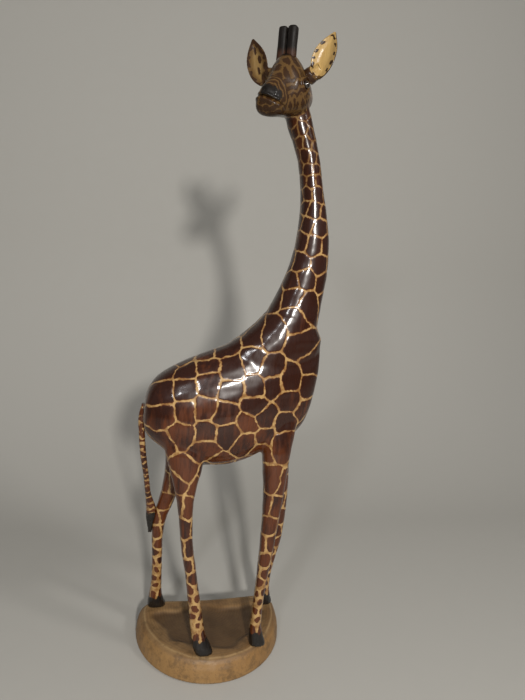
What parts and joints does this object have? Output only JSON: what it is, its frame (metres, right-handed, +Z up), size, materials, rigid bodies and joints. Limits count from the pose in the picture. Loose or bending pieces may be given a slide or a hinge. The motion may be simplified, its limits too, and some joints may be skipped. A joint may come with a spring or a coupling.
{
  "type": "carved giraffe statue",
  "caption": "Standing carved wooden giraffe with its head turned, on a half-round log slice, in pegged and doweled pieces.",
  "frame": {"origin": "underside of the base, at the middle of its footprint", "axes": "+Z up, +X the way the body faces, +Y the animal's left side"},
  "size_m": [0.2863, 0.1679, 1.0093],
  "materials": {
    "lacquered_coat": "gloss lacquer over dark red-brown stain with scraped tan lines",
    "blackened_wood": "semi-gloss black stain",
    "log_slice": "bare satin end grain",
    "dowel_wood": "bare wood",
    "eye_bead": "high gloss"
  },
  "bodies": {
    "root": {"base": "log_slice", "torso": "lacquered_coat", "neck": "lacquered_coat", "head": "lacquered_coat", "leg_front_right": "lacquered_coat", "leg_front_left": "lacquered_coat", "leg_rear_right": "lacquered_coat", "leg_rear_left": "lacquered_coat", "tail": "lacquered_coat", "ear_left": "lacquered_coat", "ear_right": "lacquered_coat", "horn_left": "blackened_wood", "horn_right": "blackened_wood", "eye_left": "eye_bead", "eye_right": "eye_bead", "neck_dowel": "dowel_wood", "head_dowel": "dowel_wood", "foot_dowel_front_right": "dowel_wood", "foot_dowel_front_left": "dowel_wood", "foot_dowel_rear_right": "dowel_wood", "foot_dowel_rear_left": "dowel_wood"}
  },
  "joints": []
}
